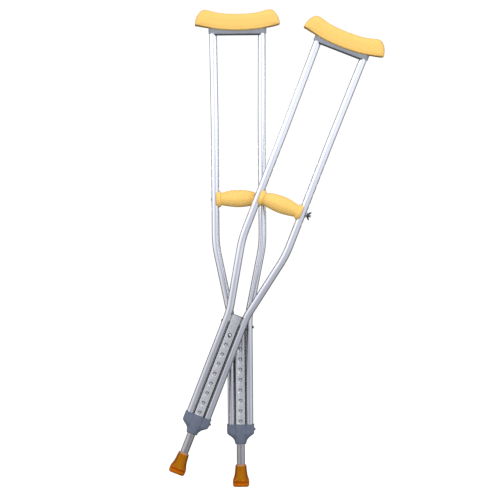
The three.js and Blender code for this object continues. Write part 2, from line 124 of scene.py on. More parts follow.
def fillet(points, radii, steps=5, closed=False):
    """The polyline with rounded corners; radii is one number or one for each point."""
    pts = [np.array(q, float) for q in points]
    count = len(pts)
    radii = [radii] * count if isinstance(radii, (int, float)) else list(radii)
    out = []
    for i, corner in enumerate(pts):
        if not closed and i in (0, count - 1) or radii[i] <= 0:
            out.append(tuple(corner))
            continue
        back, ahead = pts[i - 1] - corner, pts[(i + 1) % count] - corner
        back_len, ahead_len = np.linalg.norm(back), np.linalg.norm(ahead)
        back, ahead = back / back_len, ahead / ahead_len
        turn = math.acos(max(-1, min(1, -float(back @ ahead))))
        if turn < 1e-3:
            out.append(tuple(corner))
            continue
        # a fillet takes up less than half of each side it touches
        reach = min(radii[i] * math.tan(turn / 2), 0.48 * back_len, 0.48 * ahead_len)
        radius = reach / math.tan(turn / 2)
        middle = (back + ahead) / np.linalg.norm(back + ahead)
        centre = corner + middle * radius / math.cos(turn / 2)
        first = corner + back * reach - centre
        last = corner + ahead * reach - centre
        start = math.atan2(first[1], first[0])
        sweep = math.atan2(last[1], last[0]) - start
        sweep = (sweep + math.pi) % (2 * math.pi) - math.pi
        for k in range(steps + 1):
            t = start + sweep * k / steps
            out.append((centre[0] + radius * math.cos(t), centre[1] + radius * math.sin(t)))
    return out


def eased(rows, steps=4, closed=False):
    """A filleted polyline from rows of (first coordinate, second coordinate, corner radius)."""
    return fillet([row[:2] for row in rows], [row[2] for row in rows], steps, closed)


def inset(points, distance):
    """A closed outline moved inwards."""
    p = np.array(points, float)
    area = 0.5 * np.sum(p[:, 0] * np.roll(p[:, 1], -1) - np.roll(p[:, 0], -1) * p[:, 1])
    sign = 1 if area > 0 else -1
    normals = []
    for edge in (p - np.roll(p, 1, 0), np.roll(p, -1, 0) - p):
        edge /= np.linalg.norm(edge, axis=1)[:, None] + 1e-12
        normals.append(np.stack([-edge[:, 1], edge[:, 0]], 1) * sign)
    mitre = normals[0] + normals[1]
    mitre /= np.linalg.norm(mitre, axis=1)[:, None] + 1e-12
    scale = 1 / np.maximum((mitre * normals[0]).sum(1), 0.5)
    return p + mitre * (distance * scale)[:, None]


# ------------------------------------------------------------------ solids
def write_outward(bm, me):
    """Turn the faces outwards and write the mesh."""
    bmesh.ops.recalc_face_normals(bm, faces=bm.faces)
    if bm.calc_volume(signed=True) < 0:
        bmesh.ops.reverse_faces(bm, faces=bm.faces)
    bm.to_mesh(me)
    bm.free()


def make_mesh(verts, faces):
    me = bpy.data.meshes.new("m")
    me.from_pydata([tuple(v) for v in verts], [], faces)
    bm = bmesh.new()
    bm.from_mesh(me)
    bmesh.ops.remove_doubles(bm, verts=bm.verts, dist=1e-4)
    bmesh.ops.dissolve_degenerate(bm, edges=bm.edges, dist=1e-5)
    write_outward(bm, me)
    me.update()
    return me


def lathe(profile, seg=48, axis="z", at=(0, 0, 0)):
    """A turned solid from (radius, height) points that start and end on the axis, or close."""
    closed = profile[0][0] > 1e-6
    verts, rings = [], []
    for radius, height in profile:
        if radius < 1e-6:
            verts.append((0, 0, height))
            rings.append([len(verts) - 1] * seg)
        else:
            rings.append(list(range(len(verts), len(verts) + seg)))
            for k in range(seg):
                t = 2 * math.pi * k / seg
                verts.append((radius * math.cos(t), radius * math.sin(t), height))
    faces = []
    for i in range(len(rings) if closed else len(rings) - 1):
        low, high = rings[i], rings[(i + 1) % len(rings)]
        for k in range(seg):
            after = (k + 1) % seg
            face = list(dict.fromkeys([low[k], low[after], high[after], high[k]]))
            if len(face) > 2:
                faces.append(face)
    v = np.array(verts, float)
    if axis == "x":
        v = v[:, [2, 0, 1]]
    elif axis == "y":
        v = v[:, [1, 2, 0]]
    return make_mesh(v + np.array(at, float), faces)


def rod(radius, low, high, seg=32, axis="z", at=(0, 0, 0)):
    return lathe([(0, low), (radius, low), (radius, high), (0, high)], seg, axis, at)


def washer(bore, radius, low, high, edge, seg, axis="z", at=(0, 0, 0)):
    corners = [(bore, low), (radius, low), (radius, high), (bore, high)]
    return lathe(fillet(corners, edge, 3, True), seg, axis, at)


def box(x0, x1, y0, y1, z0, z1):
    verts = [(x, y, z) for x in (x0, x1) for y in (y0, y1) for z in (z0, z1)]
    faces = [
        (0, 1, 3, 2), (4, 6, 7, 5), (0, 4, 5, 1),
        (2, 3, 7, 6), (0, 2, 6, 4), (1, 5, 7, 3),
    ]
    return make_mesh(verts, faces)


def slab(outline, low, high, edge=0.0, steps=4, plane="xz"):
    """An outline in the named plane, extruded from low to high across it, edges rounded."""
    levels = [(low, 0), (high, 0)]
    if edge > 0:
        levels = []
        for k in range(steps, -1, -1):
            t = math.pi / 2 * k / steps
            levels.append((low + edge * (1 - math.sin(t)), edge * (1 - math.cos(t))))
        levels += [(high - (h - low), depth) for h, depth in levels][::-1]
    verts, count = [], len(outline)
    for h, depth in levels:
        ring = inset(outline, depth) if depth > 1e-9 else np.array(outline, float)
        for a, b in ring:
            verts.append({"xz": (a, h, b), "xy": (a, b, h), "yz": (h, a, b)}[plane])
    top = (len(levels) - 1) * count
    faces = [list(range(count)), list(range(top, top + count))[::-1]]
    for row in range(0, top, count):
        for k in range(count):
            after = (k + 1) % count
            faces.append([row + k, row + after, row + count + after, row + count + k])
    return make_mesh(verts, faces)


def joined(meshes):
    """Several separate closed meshes as one, for a cut."""
    bm = bmesh.new()
    for part in meshes:
        bm.from_mesh(part)
    me = bpy.data.meshes.new("j")
    bm.to_mesh(me)
    bm.free()
    return me


def boolean(me, other, how="DIFFERENCE"):
    body = bpy.data.objects.new("tmp_a", me)
    tool = bpy.data.objects.new("tmp_b", other)
    for o in (body, tool):
        bpy.context.scene.collection.objects.link(o)
    mod = body.modifiers.new("b", "BOOLEAN")
    mod.object, mod.operation, mod.solver = tool, how, "EXACT"
    depsgraph = bpy.context.evaluated_depsgraph_get()
    out = bpy.data.meshes.new_from_object(body.evaluated_get(depsgraph))
    bpy.data.objects.remove(body)
    bpy.data.objects.remove(tool)
    return out


def cleaned(me):
    """Merged, without slivers, and with many-sided faces cut into triangles to shade evenly."""
    bm = bmesh.new()
    bm.from_mesh(me)
    bmesh.ops.remove_doubles(bm, verts=bm.verts, dist=2e-3)
    bmesh.ops.dissolve_degenerate(bm, edges=bm.edges, dist=1e-4)
    loose = [v for v in bm.verts if not v.link_faces]
    bmesh.ops.delete(bm, geom=loose, context="VERTS")
    big = [f for f in bm.faces if len(f.verts) > 4]
    if big:
        bmesh.ops.triangulate(bm, faces=big)
    write_outward(bm, me)
    return me


# ------------------------------------------------------------------ shader helpers
NOISE_SPAN = (0.3, 0.7)  # the range that noise mostly keeps to


class Graph:
    """A node tree with short calls. A value is a number, a colour or a node's output."""

    def __init__(self, owner):
        owner.use_nodes = True
        self.tree = owner.node_tree
        self.tree.nodes.clear()

    def node(self, kind, **settings):
        node = self.tree.nodes.new("ShaderNode" + kind)
        for key, value in settings.items():
            setattr(node, key, value)
        return node

    def put(self, socket, value):
        if isinstance(value, bpy.types.NodeSocket):
            self.tree.links.new(value, socket)
        else:
            socket.default_value = value

    def put_all(self, node, values):
        for key, value in values.items():
            self.put(node.inputs[key], value)

    def math(self, op, *values, clamp=False):
        node = self.node("Math", operation=op, use_clamp=clamp)
        self.put_all(node, dict(enumerate(values)))
        return node.outputs[0]

    def mix(self, factor, first, second, blend="MIX"):
        node = self.node("Mix", data_type="RGBA", blend_type=blend)
        self.put(node.inputs[0], factor)
        for i, v in ((6, first), (7, second)):
            self.put(node.inputs[i], v if isinstance(v, bpy.types.NodeSocket) else (*v, 1))
        return node.outputs[2]


class SurfaceGraph(Graph):
    """A principled material. Its coordinates are the crutch's own millimetres."""

    def __init__(self, name):
        self.material = bpy.data.materials.new(name)
        super().__init__(self.material)
        output = self.node("OutputMaterial")
        self.bsdf = self.node("BsdfPrincipled")
        self.put(output.inputs["Surface"], self.bsdf.outputs["BSDF"])
        self.mm = self.node("Attribute", attribute_name="local_mm").outputs["Vector"]

    def surface(self, values):
        self.put_all(self.bsdf, values)
        return self.material

    @cached_property
    def xyz(self):
        node = self.node("SeparateXYZ")
        self.put(node.inputs[0], self.mm)
        return tuple(node.outputs)

    def math(self, op, first, second=0.0, clamp=False):
        return super().math(op, first, second, 0.0, clamp=clamp)

    def add(self, first, second):
        return self.math("ADD", first, second)

    def sub(self, first, second):
        return self.math("SUBTRACT", first, second)

    def mul(self, first, second):
        return self.math("MULTIPLY", first, second)

    def less(self, first, second):
        return self.math("LESS_THAN", first, second)

    def abs(self, value):
        return self.math("ABSOLUTE", value)

    def radius(self, across, up):
        return self.math("SQRT", self.add(self.mul(across, across), self.mul(up, up)))

    def noise(self, scale, detail=3.0, rough=0.5, z_scale=1, seed=0.0):
        mapping = self.node("Mapping")
        offset = (seed, seed * 1.7, seed * 0.6)
        values = {"Scale": (1, 1, z_scale), "Location": offset, "Vector": self.mm}
        self.put_all(mapping, values)
        node = self.node("TexNoise")
        values = {"Scale": scale, "Detail": detail, "Roughness": rough}
        self.put_all(node, {**values, "Vector": mapping.outputs["Vector"]})
        return node.outputs["Fac"]

    def cells(self, scale):
        node = self.node("TexVoronoi")
        self.put_all(node, {"Scale": scale, "Vector": self.mm})
        return node.outputs["Distance"]

    def facing(self):
        node = self.node("LayerWeight")
        node.inputs["Blend"].default_value = 0.5
        return node.outputs["Facing"]

    def linear(self, value, over=NOISE_SPAN, to=(0, 1), kind="LINEAR"):
        """The value carried from the first range to the second."""
        node = self.node("MapRange", interpolation_type=kind)
        self.put_all(node, dict(enumerate((value, *over, *to))))
        return node.outputs[0]

    def smooth(self, value, over, to):
        return self.linear(value, over, to, "SMOOTHSTEP")

    def rise(self, value, over):
        """Eases from 0 to 1 over the range."""
        return self.smooth(value, over, (0, 1))

    def fade(self, value, over):
        """Eases from 1 to 0 over the range."""
        return self.smooth(value, over, (1, 0))

    def band(self, value, rise, fade):
        return self.mul(self.rise(value, rise), self.fade(value, fade))

    def tinted(self, shade, tone, shading=None):
        """The tone times the shade, and times what the shading function gives."""
        if shading is not None:
            shade = self.mul(shade, shading(self))
        node = self.node("CombineColor")
        for i in range(3):
            self.put(node.inputs[i], self.math("MULTIPLY", shade, tone[i], clamp=True))
        return node.outputs[0]

    def bump(self, height, distance, strength):
        node = self.node("Bump")
        self.put_all(node, {"Strength": strength, "Distance": distance, "Height": height})
        return node.outputs["Normal"]


# ------------------------------------------------------------------ kinds of material
FOAM_LIGHT, FOAM_DEEP = (0.89, 0.575, 0.165), (0.86, 0.53, 0.135)
# colour of the painted shade along the pad's lower edge
FOAM_PAINTED_SHADE = (0.16, 0.085, 0.02)


def pad_painted_shade(graph):
    """Painted shade along the pad's lower edge, which turns under, strongest towards each end.
    """
    x, _, z = graph.xyz
    curve = 0.00118  # how fast the underside rises with the square of x
    height = graph.sub(graph.sub(z, PAD_LOW_Z), graph.mul(graph.mul(x, x), curve))
    ends = graph.smooth(graph.abs(x), over=(48, 82), to=(0.12, 0.85))
    return graph.mul(graph.fade(height, (2.2, 5.2)), ends)


def foam_material(name, under=False):
    """Matte moulded foam: mottled skin with fine pores, and painted shade that makes it deeper
    where it turns away.
    """
    graph = SurfaceGraph(name)
    cloud_part, fleck_part, pore_part = 0.32, 0.08, 0.6
    cloud = graph.linear(graph.noise(scale=0.035, detail=4, rough=0.55), over=(0.35, 0.7))
    fleck = graph.linear(graph.noise(scale=1.6, detail=2, rough=0.6), over=(0.3, 0.75))
    colour = graph.mix(graph.mul(cloud, cloud_part), FOAM_LIGHT, FOAM_DEEP)
    fleck_colour = tuple(c * 0.72 for c in FOAM_DEEP)
    colour = graph.mix(graph.mul(fleck, fleck_part), colour, fleck_colour)
    # the pad gets painted shade along its lower edge
    if under:
        colour = graph.mix(pad_painted_shade(graph), colour, FOAM_PAINTED_SHADE)
    # painted shade: deeper colour where the surface turns away from view
    rim = graph.smooth(graph.facing(), over=(0.55, 0.95), to=(0, 0.5))
    colour = graph.mix(rim, colour, tuple(c * 0.62 for c in FOAM_DEEP))
    pores = graph.mul(graph.cells(scale=1.1), pore_part)
    skin = graph.add(pores, graph.noise(scale=0.8, detail=4, rough=0.6))
    return graph.surface({
        "Base Color": colour,
        "Roughness": graph.linear(graph.noise(scale=0.5), to=(0.56, 0.7)),
        "Subsurface Weight": 0.12,
        "Subsurface Radius": (1.0, 0.55, 0.2),
        "Subsurface Scale": 0.003,
        "Sheen Weight": 0.06,
        "Sheen Roughness": 0.5,
        "Specular IOR Level": 0.18,
        "Normal": graph.bump(skin, distance=0.00022, strength=0.5),
    })


def metal_material(name, tone, rough, line, grain, shading, mottle=0.0):
    """Drawn aluminium: lines along its length, dull patches and what the shading adds.

    line, grain and mottle are how deep the drawn lines, the specks and the blotches go.
    """
    graph = SurfaceGraph(name)
    line_part, fine_part = 0.55, 0.45
    lines = graph.noise(scale=1.3, rough=0.6, z_scale=0.012)
    fine = graph.noise(scale=4.5, detail=2, rough=0.6, z_scale=0.05, seed=3.0)
    patch = graph.noise(scale=0.045, z_scale=0.25, seed=7.0)
    speck = graph.noise(scale=0.9, detail=2, rough=0.6, z_scale=0.7, seed=11.0)
    drawn = graph.add(graph.mul(lines, line_part), graph.mul(fine, fine_part))
    shade = graph.linear(drawn, to=(1 - line, 1 + line * 0.4))
    shade = graph.mul(shade, graph.linear(speck, to=(1 - grain, 1 + grain * 0.5)))
    shade = graph.mul(shade, graph.linear(patch, to=(0.96, 1.02)))
    if mottle:
        blotch = graph.noise(scale=0.3, detail=4, rough=0.7, z_scale=0.8, seed=17.0)
        blotch = graph.linear(blotch, over=(0.35, 0.65), to=(1 - mottle, 1 + mottle))
        shade = graph.mul(shade, blotch)
    return graph.surface({
        "Base Color": graph.tinted(shade, tone, shading),
        "Metallic": 1.0,
        "Roughness": graph.linear(drawn, to=(rough - 0.05, rough + 0.07)),
        "Normal": graph.bump(drawn, distance=0.00004, strength=0.6),
    })


def plastic_material(name, tone, rough, grain, shading=None):
    """Moulded plastic: fine grain, faint mottling, paler on convex edges."""
    graph = SurfaceGraph(name)
    cloud = graph.linear(graph.noise(scale=0.12, detail=4, rough=0.6), to=(0.9, 1.1))
    speck = graph.linear(graph.noise(scale=1.4, rough=0.65, seed=5.0), to=(0.93, 1.08))
    pointiness = graph.node("NewGeometry").outputs["Pointiness"]
    edge = graph.linear(pointiness, over=(0.52, 0.6), to=(0, 0.22))
    colour = graph.tinted(graph.mul(cloud, speck), tone, shading)
    relief = graph.noise(scale=2.2, rough=0.7)
    return graph.surface({
        "Base Color": graph.mix(edge, colour, tuple(min(1, c * 1.8) for c in tone)),
        "Roughness": graph.linear(graph.noise(scale=0.7), to=(rough - 0.06, rough + 0.08)),
        "Specular IOR Level": 0.3,
        "Normal": graph.bump(relief, distance=0.00012, strength=grain),
    })


def steel_material(name, tone, rough, spot=0.1, shading=None):
    """Plated steel: cloudy plating with small dark spots."""
    graph = SurfaceGraph(name)
    cloud = graph.noise(scale=0.5, detail=4, rough=0.6)
    spots = graph.noise(scale=1.8, detail=2, rough=0.6, seed=9.0)
    spots = graph.linear(spots, over=(0.62, 0.75), to=(0, spot))
    shade = graph.sub(graph.linear(cloud, to=(0.88, 1.08)), spots)
    relief = graph.noise(scale=3.0, detail=2)
    return graph.surface({
        "Base Color": graph.tinted(shade, tone, shading),
        "Metallic": 1.0,
        "Roughness": graph.linear(cloud, to=(rough - 0.05, rough + 0.1)),
        "Normal": graph.bump(relief, distance=0.00004, strength=0.4),
    })


def amber_colour(graph):
    """The colour of the gum rubber, which stands for light that has gone through it."""
    z = graph.xyz[2]
    edge = graph.rise(graph.facing(), (0.14, 0.46))
    # above the foot: an olive core, an orange-red edge, redder still low down
    swirl = graph.noise(scale=0.2, detail=4, rough=0.65, z_scale=0.35)
    swirl = graph.linear(swirl, over=(0.36, 0.64))
    core = graph.mix(swirl, (0.29, 0.112, 0.001), (0.40, 0.128, 0.004))
    side = graph.mix(swirl, (0.23, 0.056, 0.002), (0.15, 0.038, 0.003))
    side = graph.mix(graph.fade(z, (17.0, 27.0)), side, (0.35, 0.066, 0.0))
    upper = graph.mix(edge, core, side)
    # the solid foot
    cloud = graph.noise(scale=0.16, rough=0.6, z_scale=2.2, seed=4.0)
    cloud = graph.linear(cloud, over=(0.38, 0.62))
    foot = graph.mix(cloud, (0.31, 0.052, 0.0), (0.44, 0.100, 0.001))
    colour = graph.mix(graph.fade(z, (12.6, 15.0)), upper, foot)
    # a painted highlight: a broken pale ring, with a deeper band below it
    broken_highlight = graph.noise(scale=0.13, detail=2, z_scale=0.3, seed=8.0)
    broken_highlight = graph.smooth(broken_highlight, over=(0.42, 0.6), to=(0.0, 0.6))
    ring = graph.mul(graph.band(z, (14.2, 15.4), (16.0, 17.4)), broken_highlight)
    below_part = 0.6
    below = graph.mul(graph.band(z, (8.6, 10.0), (12.2, 13.6)), below_part)
    colour = graph.mix(below, colour, (0.30, 0.042, 0.0))
    colour = graph.mix(ring, colour, (0.52, 0.25, 0.05))
    # painted highlights: brighter patches next to the floor
    patch = graph.noise(scale=0.12, rough=0.6, z_scale=1.6, seed=13.0)
    patch = graph.smooth(patch, over=(0.40, 0.58), to=(0.25, 1))
    low = graph.mul(graph.fade(z, (6.8, 9.4)), patch)
    colour = graph.mix(low, colour, (0.55, 0.165, 0.004))
    # the lip is thin enough to let the tube through
    thin = graph.linear(edge, over=(0.3, 1.0), to=(1, 0.15))
    lip = graph.mul(graph.smooth(z, over=(49.5, 53.5), to=(0, 0.8)), thin)
    return graph.mix(lip, colour, (0.46, 0.30, 0.22))


def amber_material(name):
    graph = SurfaceGraph(name)
    relief = graph.noise(scale=0.22, detail=2)
    return graph.surface({
        "Base Color": amber_colour(graph),
        "Roughness": graph.linear(graph.noise(scale=0.35), to=(0.10, 0.2)),
        "IOR": 1.3,
        "Subsurface Weight": 0.15,
        "Subsurface Radius": (1.0, 0.3, 0.03),
        "Subsurface Scale": 0.003,
        "Specular IOR Level": 0.06,
        "Normal": graph.bump(relief, distance=0.0005, strength=0.35),
    })


# ------------------------------------------------------------------ shading by place
def tube_shading(graph):
    """Painted shade, darker towards the floor, and painted light on the side that lies in the
    profile's channel.
    """
    x, _, z = graph.xyz
    brighter = 0.8
    # painted light: the side that lies in the profile's channel is made brighter
    side = graph.fade(graph.abs(x), (15.4, 17.2))
    in_channel = graph.fade(z, (404, 418))
    painted_channel_light = graph.add(1, graph.mul(graph.mul(side, brighter), in_channel))
    # painted shade: darker towards the floor, lighter higher up
    low = graph.linear(z, over=(300, 660), to=(0.43, 0.70))
    return graph.mul(painted_channel_light, graph.add(low, graph.smooth(z, over=(640, 960), to=(0.0, 0.28))))


def profile_shading(graph):
    """Painted shade: dark floors of the grooves, a darker rim at the top, a shaded upper edge
    in each hole and a dark ring round the button; painted light on the left.
    """
    x, y, z = graph.xyz
    across = graph.abs(x)
    # painted shade on the floors of the grooves beside the strips
    groove_shade = graph.mul(graph.rise(across, (10.85, 11.0)), graph.fade(graph.abs(y), (9.5, 10.1)))
    groove_shade = graph.mul(groove_shade, graph.fade(across, (12.9, 13.4)))
    depth = graph.smooth(z, over=(391, 398), to=(0.94, 0.1))
    side = graph.sub(1, graph.mul(groove_shade, depth))
    # painted shade: a darker line along the top edge
    rim = graph.smooth(z, over=(411.6, 412.8), to=(1, 0.62))
    # height above the nearest hole's centre
    up = graph.sub(z, HOLE_TOP - (HOLE_COUNT - 1) * PITCH - PITCH / 2)
    up = graph.sub(graph.math("MODULO", up, PITCH), PITCH / 2)
    radius = graph.radius(x, up)
    front_y, arch_slope, button_hole_shade_part = -9.0, -0.35, 0.75
    # painted shade on the upper edge of each hole, on the front only
    arch = graph.add(up, graph.mul(graph.abs(x), arch_slope))
    arch = graph.smooth(arch, over=(-0.4, 2.2), to=(0.0, 0.9))
    ring = graph.mul(graph.fade(radius, (5.0, 6.2)), arch)
    ring = graph.mul(ring, graph.less(y, front_y))
    ring = graph.mul(ring, graph.less(z, HOLE_TOP + 8))
    # painted shade: the button's hole is dark all round
    above = graph.math("GREATER_THAN", z, HOLE_TOP - 9)
    button_hole_shade = graph.mul(graph.fade(radius, (4.7, 5.3)), above)
    button_hole_shade = graph.mul(button_hole_shade, graph.mul(graph.less(z, HOLE_TOP + 9), graph.less(y, front_y)))
    hole = graph.sub(1, graph.math("MAXIMUM", ring, graph.mul(button_hole_shade, button_hole_shade_part)))
    # painted light: lighter on the left, darker on the right
    left = graph.smooth(x, over=(-6, 3), to=(1.10, 0.92))
    return graph.mul(graph.mul(side, rim), graph.mul(hole, left))


def button_shading(graph):
    """The button's lower left side and its rim sit in the shade of its hole."""
    x, _, z = graph.xyz
    light_x, light_z = 0.75, 0.66
    up = graph.sub(z, HOLE_TOP)
    tilt = graph.add(graph.mul(x, light_x), graph.mul(up, light_z))
    rim = graph.smooth(graph.radius(x, up), over=(3.1, 4.1), to=(1, 0.3))
    return graph.mul(graph.smooth(tilt, over=(-2.4, 1.2), to=(0.16, 1)), rim)


def saddle_shading(graph):
    """The bottom edge of the saddle is in shade."""
    return graph.smooth(graph.xyz[2], over=(1107.8, 1108.6), to=(0.06, 1.0))


def collar_shading(graph):
    """Painted shade in darker bands where the collar's middle meets its wings, and darker along
    the top edge.
    """
    x, _, z = graph.xyz
    shade_band_x = 12.8
    distance = graph.abs(graph.sub(graph.abs(x), shade_band_x))
    # painted shade where the middle meets the wings
    band = graph.smooth(distance, over=(0.3, 3.0), to=(0.89, 1.0))
    return graph.mul(band, graph.smooth(z, over=(149.6, 151.4), to=(1.0, 0.84)))


def leg_shading(graph):
    """A short line on the front just under the collar, and painted light that makes it brighter
    inside the profile.
    """
    x, y, z = graph.xyz
    line_z, line_depth = 97.6, 0.28
    away = graph.abs(graph.sub(z, line_z))
    across = graph.abs(x)
    line = graph.mul(graph.fade(away, (0.5, 1.1)), graph.fade(across, (2.6, 4.4)))
    line = graph.mul(line, graph.less(y, 0))
    mark = graph.sub(1, graph.mul(line, line_depth))
    # painted light: brighter inside the profile
    return graph.mul(mark, graph.smooth(z, over=(140, 160), to=(1.0, 1.5)))


MATERIALS = {
    "pad": foam_material("foam_pad", under=True),
    "grip": foam_material("foam_grip"),
    "bow": metal_material(
        "bow_aluminium", tone=(0.985, 0.98, 1.0), rough=0.20, line=0.05, grain=0.02,
        shading=tube_shading),
    "profile": metal_material(
        "profile_aluminium", tone=(0.60, 0.585, 0.55), rough=0.34, line=0.12, grain=0.2,
        shading=profile_shading, mottle=0.17),
    "leg": metal_material(
        "leg_aluminium", tone=(0.345, 0.325, 0.318), rough=0.30, line=0.08, grain=0.05,
        shading=leg_shading),
    "collar": plastic_material(
        "collar_plastic", tone=(0.112, 0.131, 0.180), rough=0.46, grain=0.25,
        shading=collar_shading),
    "saddle": plastic_material(
        "saddle_plastic", tone=(0.245, 0.265, 0.305), rough=0.42, grain=0.25,
        shading=saddle_shading),
    "steel": steel_material("plated_steel", tone=(0.52, 0.53, 0.55), rough=0.30),
    "button": steel_material(
        "button_nickel", tone=(0.60, 0.61, 0.63), rough=0.16, spot=0.03,
        shading=button_shading),
    "dark": steel_material("dark_zinc", tone=(0.082, 0.083, 0.090), rough=0.40, spot=0.12),
    "nylon": plastic_material("natural_nylon", tone=(0.72, 0.72, 0.68), rough=0.5, grain=0.15),
    "amber": amber_material("amber_rubber"),
}


# ------------------------------------------------------------------ side tubes
def tube_path(side):
    """The centre line in x and z, in steps of about 9 mm."""
    # x, z, bend radius
    rows = [(LOW_X, TUBE_FOOT_Z, 0), (LOW_X, 418, 170), (MID_X, 593, 260),
            (MID_X, 880, 3000), (TOP_X, 1126, 0)]
    soft = eased(rows, 16)
    out = [soft[0]]
    for a, b in zip(soft, soft[1:]):
        count = max(1, int(round(math.dist(a, b) / 9.0)))
        for k in range(1, count + 1):
            out.append((a[0] + (b[0] - a[0]) * k / count, a[1] + (b[1] - a[1]) * k / count))
    return [(side * x, z) for x, z in out]


def bow_tube(side):
    path = np.array(tube_path(side))
    tangents = np.gradient(path, axis=0)
    tangents /= np.linalg.norm(tangents, axis=1)[:, None]
    seg, verts, faces = 40, [], []
    for radius in (TUBE_R, TUBE_R - TUBE_WALL):
        for (x, z), (tan_x, tan_z) in zip(path, tangents):
            for k in range(seg):
                t = 2 * math.pi * k / seg
                across, y = radius * math.cos(t), radius * math.sin(t)
                verts.append((x + across * tan_z, y, z - across * tan_x))
    rows = len(path)
    for layer in (0, rows * seg):
        for i in range(rows - 1):
            for k in range(seg):
                a, b = layer + i * seg + k, layer + i * seg + (k + 1) % seg
                face = [a, b, b + seg, a + seg]
                faces.append(face if layer == 0 else face[::-1])
    for row in (0, rows - 1):
        for k in range(seg):
            a, b = row * seg + k, row * seg + (k + 1) % seg
            faces.append([a, b, b + rows * seg, a + rows * seg])
    me = make_mesh(verts, faces)
    # grip holes, then the frame bolt, rivet and collar screw holes
    grip_span = sorted((side * 44, side * 72))
    bolt_span = sorted((side * 10, side * 34))
    cuts = [rod(3.7, *grip_span, 28, "x", (0, 0, GRIP_Z + k * PITCH)) for k in range(-1, 6)]
    cuts.append(rod(3.0, *bolt_span, 24, "x", (0, 0, BOLT_Z)))
    cuts.append(rod(2.3, -15, 15, 20, "y", (side * (TOP_X - 0.05), 0, RIVET_Z)))
    if side > 0:
        cuts.append(rod(1.9, 26, 34, 20, "x", (0, 0, SCREW_Z)))
    return cleaned(boolean(me, joined(cuts)))


# ------------------------------------------------------------------ centre profile
FRONT_Y, CROWN = -12.75, 0.36  # front strip's middle, and how far its edges fall back


def profile_outline():
    """Crowned strips at front and back, grooves beside them, a channel for each side tube."""
    radius = TUBE_R + 0.3
    strip = [(x, FRONT_Y + CROWN * (x / 10.6) ** 2) for x in np.linspace(0, 10.5, 9)]
    # x, y, corner radius
    rows = [(*strip[-1], 0), (10.8, -12.37, 0.35), (10.95, -9.8, 0.2), (13.1, -6.3, 0)]
    edge = eased(rows, 3)[1:]
    flank = []
    for k in range(19):
        t = math.radians(-33 + 66 * k / 18)
        flank.append((LOW_X - radius * math.cos(t), radius * math.sin(t)))
    right = strip + edge + flank + [(x, -y) for x, y in (strip + edge)[::-1]]
    return right + [(-x, y) for x, y in right[::-1]][1:-1]


# radius, depth in y: the small countersink round each hole
COUNTERSINK = [(0, -13.6), (5.7, -13.6), (5.5, -12.72), (4.95, -12.52), (4.4, -12.1),
               (4.4, -11.5), (0, -11.5)]


def centre_profile():
    me = slab(profile_outline(), TUBE_FOOT_Z, PROFILE_TOP_Z, plane="xy")
    me = boolean(me, rod(10.4, 120, 430, 56))
    places = [(0, 0, HOLE_TOP - k * PITCH) for k in range(HOLE_COUNT)]
    me = boolean(me, joined([rod(4.4, -16, -8, 36, "y", at) for at in places]))
    me = boolean(me, joined([lathe(COUNTERSINK, 36, "y", at) for at in places]))
    me = boolean(me, rod(3.1, -20, 20, 28, "x", (0, 0, BOLT_Z)))
    # the strips are thinned where the collar holds them
    ease = [box(-20, 20, 12.1, 15, 120, 153), box(-20, 20, -15, -12.1, 120, 153)]
    return cleaned(boolean(me, joined(ease)))


# ------------------------------------------------------------------ collar
def interp_rows(rows, heights):
    """Smooth values at the heights, from rows that start with their own height."""
    table = np.array(rows, float)
    z = table[:, 0]
    last = len(z) - 1
    out = []
    for height in heights:
        i = int(np.clip(np.searchsorted(z, height) - 1, 0, last - 1))
        before, after = max(i - 1, 0), min(i + 2, last)
        span = z[i + 1] - z[i]
        t = (height - z[i]) / span
        slope0 = (table[i + 1] - table[before]) / (z[i + 1] - z[before])
        slope1 = (table[after] - table[i]) / (z[after] - z[i])
        value = (
            (2 * t**3 - 3 * t * t + 1) * table[i]
            + (t**3 - 2 * t * t + t) * span * slope0
            + (-2 * t**3 + 3 * t * t) * table[i + 1]
            + (t**3 - t * t) * span * slope1
        )
        out.append(value[1:])
    return np.array(out)


# sections of superellipses: z, half width in x, half depth in y, power
COLLAR_WINGS = [
    [104.4, 12.0, 12.0, 2],
    [106.8, 13.3, 12.4, 2],
    [112.5, 14.9, 12.6, 2],
    [117.4, 17.7, 12.7, 2.1],
    [122.2, 22.5, 12.7, 2.3],
    [127.1, 29.2, 12.6, 2.6],
    [131.0, 33.0, 12.5, 3.0],
    [152.5, 33.4, 12.5, 3.1],
]
COLLAR_MIDDLE = [
    [104.4, 12.0, 12.0, 2],
    [106.8, 13.3, 13.1, 2.1],
    [116.0, 14.8, 14.2, 2.4],
    [128.0, 17.4, 15.3, 3.0],
    [152.5, 18.0, 15.4, 3.4],
]
POCKET_Z = 130.8  # floor of the pockets for the side tubes and the profile


def superellipse(angle, half_x, half_y, power):
    """Its radius at the angle."""
    c, s = abs(math.cos(angle)), abs(math.sin(angle))
    return ((c / half_x) ** power + (s / half_y) ** power) ** (-1 / power)


